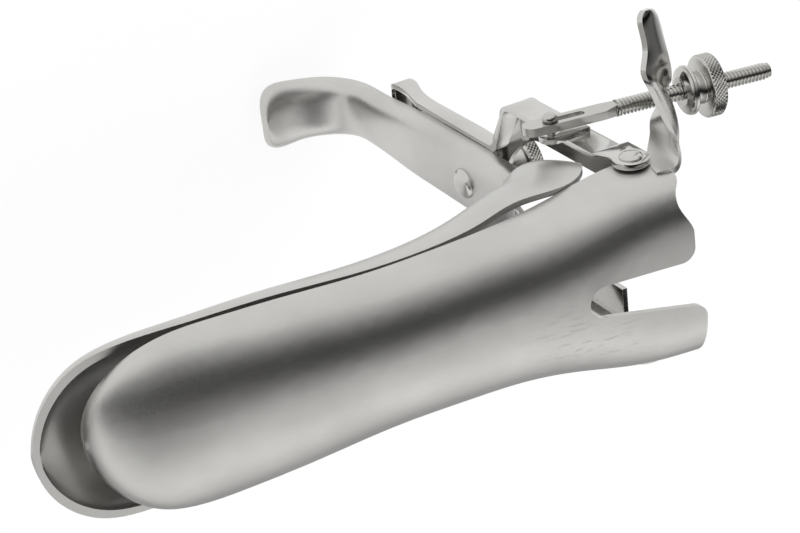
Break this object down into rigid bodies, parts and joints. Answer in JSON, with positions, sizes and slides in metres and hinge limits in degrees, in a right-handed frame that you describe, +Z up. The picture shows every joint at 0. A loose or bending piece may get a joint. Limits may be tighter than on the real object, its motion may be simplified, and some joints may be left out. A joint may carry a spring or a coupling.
{
  "type": "bivalve speculum",
  "caption": "Bivalve speculum: two hinged trough blades, slotted sliding yoke, channel handle with clamp nut, and a side adjusting rod with a knurled spool nut.",
  "frame": {"origin": "centre of the closed instrument's bounding box", "axes": "+X towards the blade tips, +Z up along the handle, -Y to the side of the thumb lever and adjusting rod"},
  "size_m": [0.1673, 0.0667, 0.1291],
  "materials": {
    "satin_steel": "satin",
    "polished_steel": "polished"
  },
  "bodies": {
    "handle_blade": {"lower_blade_handle": "satin_steel", "clamp_stud": "polished_steel"},
    "slide": {"yoke": "polished_steel", "hinge_rivet_near": "polished_steel", "hinge_rivet_far": "polished_steel", "rod_pivot_pin": "polished_steel"},
    "top_blade": {"upper_blade": "satin_steel"},
    "rod": {"adjusting_rod": "polished_steel"},
    "spool": {"spool_nut": "polished_steel"},
    "clamp": {"clamp_nut": "polished_steel"}
  },
  "joints": [
    {"name": "yoke_slide", "type": "slide", "parent": "handle_blade", "child": "slide", "axis": [0, 0, 1], "range_m": [0, 0.02]},
    {"name": "blade_hinge", "type": "hinge", "parent": "slide", "child": "top_blade", "pos_m": [-0.04074, 0.00986, 0.0511], "axis": [0, -1, 0], "range_deg": [0, 30]},
    {"name": "rod_pivot", "type": "hinge", "parent": "slide", "child": "rod", "pos_m": [-0.03574, -0.01404, 0.031], "axis": [0, -1, 0], "range_deg": [0, 23]},
    {"name": "spool_travel", "type": "slide", "parent": "rod", "child": "spool", "axis": [0.9836, 0, -0.1805], "range_m": [0, 0.0108]},
    {"name": "clamp_turn", "type": "hinge", "parent": "handle_blade", "child": "clamp", "pos_m": [-0.04574, 0.00986, -0.0017], "axis": [-1, 0, 0], "range_deg": [0, 180]}
  ],
  "couplings": [
    {"joint": "rod_pivot", "follows": "blade_hinge", "ratio": 0.741},
    {"joint": "spool_travel", "follows": "blade_hinge", "m_per_rad": 0.01998}
  ]
}
